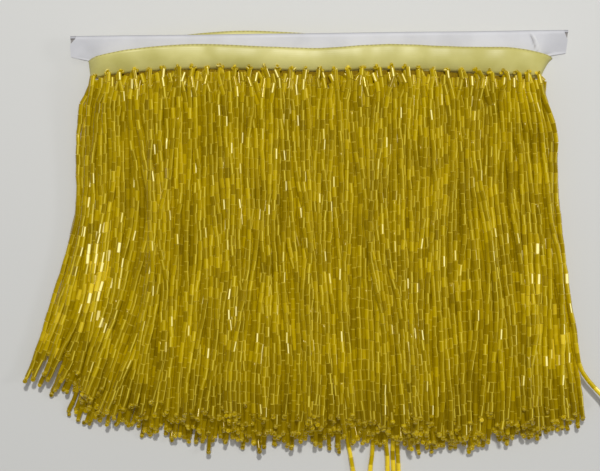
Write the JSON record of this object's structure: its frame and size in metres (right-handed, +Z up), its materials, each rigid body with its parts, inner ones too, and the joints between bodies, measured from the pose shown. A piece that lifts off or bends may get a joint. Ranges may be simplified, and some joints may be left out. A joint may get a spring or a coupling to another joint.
{
  "type": "roll of beaded fringe",
  "caption": "Glass bead fringe on a satin heading, wound flat round a notched folded card, its strands fanned out in a low pile on the surface below the card.",
  "frame": {"origin": "bottom centre of the whole roll, on the surface that it lies on", "axes": "+X along the card, towards its right end as seen from above; +Y from the strands' ends towards the card's top edge; +Z up from the surface"},
  "size_m": [0.2542, 0.2034, 0.0193],
  "materials": {
    "board": "smooth white",
    "ribbon": "satin",
    "beads": "polished, translucent yellow"
  },
  "bodies": {
    "root": {"card": "board", "heading": "ribbon", "fringe_back_outer": "beads", "fringe_back_inner": "beads", "fringe_front_inner": "beads", "fringe_front_outer": "beads"}
  },
  "joints": []
}
